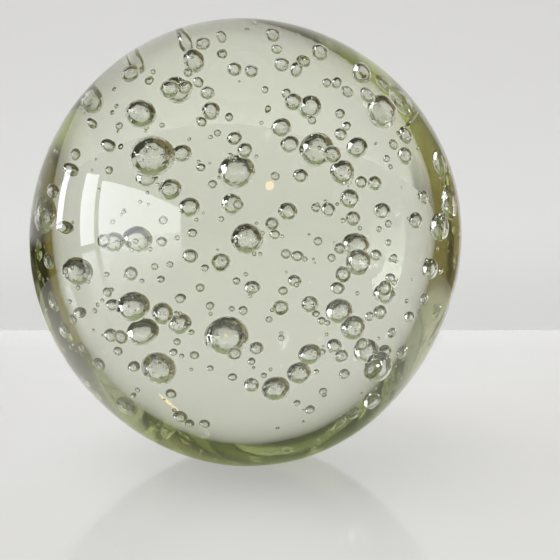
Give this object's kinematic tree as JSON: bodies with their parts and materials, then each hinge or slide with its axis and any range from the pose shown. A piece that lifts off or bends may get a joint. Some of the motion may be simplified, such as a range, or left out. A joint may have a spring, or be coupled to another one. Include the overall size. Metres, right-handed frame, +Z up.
{
  "type": "bubble glass paperweight",
  "caption": "Heavy round solid-glass paperweight with trapped air bubbles, standing on edge on a small ground facet.",
  "frame": {"origin": "middle of the ground base facet, on the surface that the paperweight stands on", "axes": "+Z up, +Y from the front face to the back face through the thickness, +X across to the right seen from the front"},
  "size_m": [0.128, 0.122, 0.1266],
  "materials": {
    "glass": "fire-polished clear glass with a faint grey-green tint, finely ground on the base facet",
    "trapped_air": "smooth walls of air bubbles trapped in clear glass"
  },
  "bodies": {
    "root": {"glass_body": "glass", "large_bubble_01": "trapped_air", "large_bubble_02": "trapped_air", "large_bubble_03": "trapped_air", "large_bubble_04": "trapped_air", "large_bubble_05": "trapped_air", "large_bubble_06": "trapped_air", "large_bubble_07": "trapped_air", "large_bubble_08": "trapped_air", "large_bubble_09": "trapped_air", "large_bubble_10": "trapped_air", "large_bubble_11": "trapped_air", "large_bubble_12": "trapped_air", "large_bubble_13": "trapped_air", "large_bubble_14": "trapped_air", "large_bubble_15": "trapped_air", "large_bubble_16": "trapped_air", "large_bubble_17": "trapped_air", "large_bubble_18": "trapped_air", "large_bubble_19": "trapped_air", "large_bubble_20": "trapped_air", "large_bubble_21": "trapped_air", "large_bubble_22": "trapped_air", "large_bubble_23": "trapped_air", "large_bubble_24": "trapped_air", "large_bubble_25": "trapped_air", "large_bubble_26": "trapped_air", "large_bubble_27": "trapped_air", "large_bubble_28": "trapped_air", "large_bubble_29": "trapped_air", "large_bubble_30": "trapped_air", "large_bubble_31": "trapped_air", "large_bubble_32": "trapped_air", "large_bubble_33": "trapped_air", "large_bubble_34": "trapped_air", "large_bubble_35": "trapped_air", "large_bubble_36": "trapped_air", "medium_bubbles_lower_left": "trapped_air", "medium_bubbles_lower_right": "trapped_air", "medium_bubbles_upper_left": "trapped_air", "medium_bubbles_upper_right": "trapped_air", "seeds_lower_back": "trapped_air", "seeds_lower_front": "trapped_air", "seeds_upper_back": "trapped_air", "seeds_upper_front": "trapped_air", "small_bubbles_lower_left": "trapped_air", "small_bubbles_lower_right": "trapped_air", "small_bubbles_upper_left": "trapped_air", "small_bubbles_upper_right": "trapped_air"}
  },
  "joints": []
}
